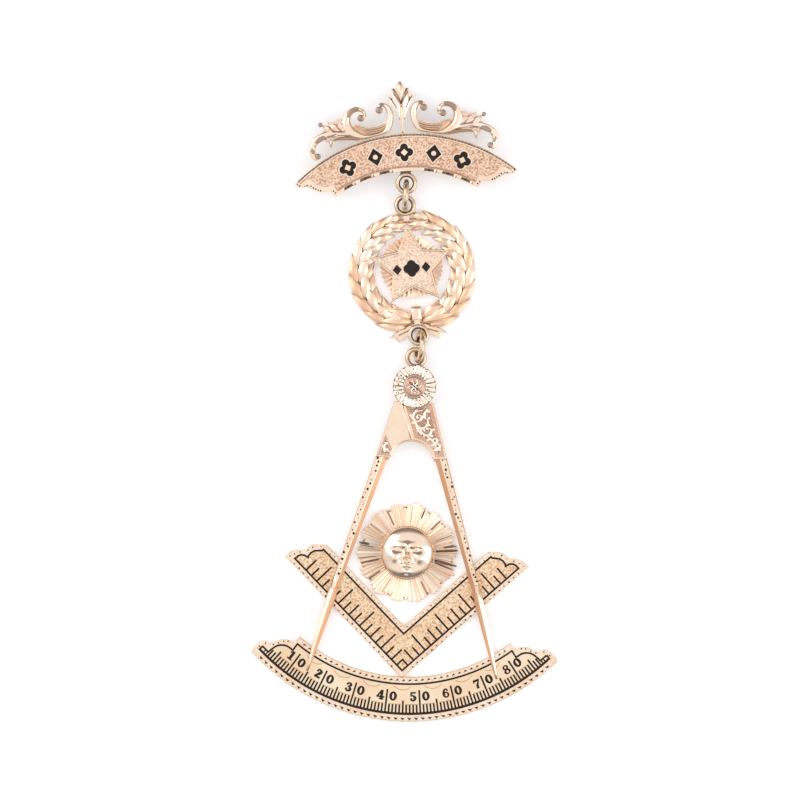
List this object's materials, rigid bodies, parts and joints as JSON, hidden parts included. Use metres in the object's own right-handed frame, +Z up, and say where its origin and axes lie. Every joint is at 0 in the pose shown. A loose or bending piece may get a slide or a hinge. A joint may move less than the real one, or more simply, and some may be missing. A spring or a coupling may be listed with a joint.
{
  "type": "fraternal breast jewel brooch with compasses, square and quadrant pendant",
  "caption": "Rose gold and black enamel breast jewel: an ogee brooch plate with a pierced crest, a laurel wreath with a star, and compasses over a sun, square and quadrant",
  "frame": {"origin": "centre of the jewel's bounding box, on the surface it lies on (Z = 0)", "axes": "+Y along the jewel from the quadrant to the crest, +Z up from the surface towards the decorated face, +X to the viewer's right"},
  "size_m": [0.0516, 0.108, 0.0056],
  "materials": {
    "rose_gold": "stippled and polished rose gold",
    "cast_rose_gold": "cast and chased pale rose gold",
    "bright_cut_gold": "bright-cut and polished rose gold",
    "pink_gold": "engraved pink gold",
    "ring_gold": "polished rose gold wire",
    "black_enamel": "polished black enamel"
  },
  "bodies": {
    "root": {"plate": "rose_gold", "plate_enamel": "black_enamel", "crest": "cast_rose_gold", "pin_stem": "rose_gold", "jump_ring_top": "ring_gold", "wreath": "cast_rose_gold", "sunburst": "pink_gold", "star": "rose_gold", "star_enamel": "black_enamel", "jump_ring_low": "ring_gold", "compasses": "bright_cut_gold", "rosette": "pink_gold", "sun_rays": "cast_rose_gold", "sun_face": "cast_rose_gold", "set_square": "rose_gold", "set_square_enamel": "black_enamel", "quadrant": "rose_gold", "quadrant_enamel": "black_enamel"}
  },
  "joints": []
}
